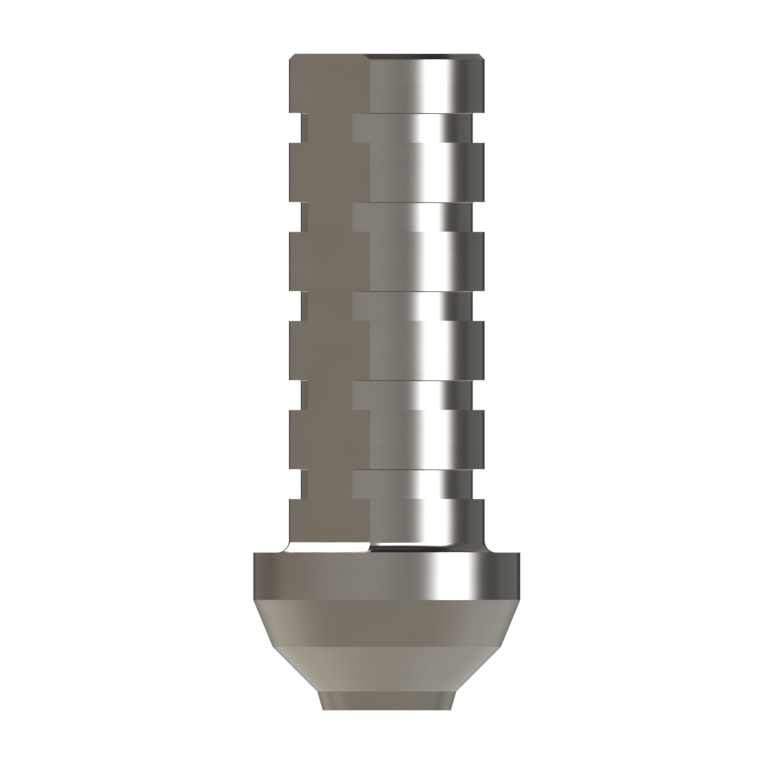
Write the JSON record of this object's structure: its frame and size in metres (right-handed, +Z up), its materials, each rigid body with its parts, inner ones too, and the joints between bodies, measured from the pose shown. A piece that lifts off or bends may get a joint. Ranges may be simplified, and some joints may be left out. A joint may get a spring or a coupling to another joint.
{
  "type": "temporary dental abutment",
  "caption": "Turned titanium sleeve that screws into a dental implant and carries a provisional crown on a grooved post with one flat.",
  "frame": {"origin": "centre of the foot, the ring face at the bottom of the implant connection, on the screw channel's axis", "axes": "+Z up the screw channel's axis, from the implant towards the crown; -Y is the outward normal of the flat on the post; +X completes the right-handed frame"},
  "size_m": [0.0044, 0.0044, 0.0111],
  "materials": {
    "titanium": "fine-turned titanium, smooth satin"
  },
  "bodies": {
    "root": {"temporary_abutment": "titanium"}
  },
  "joints": []
}
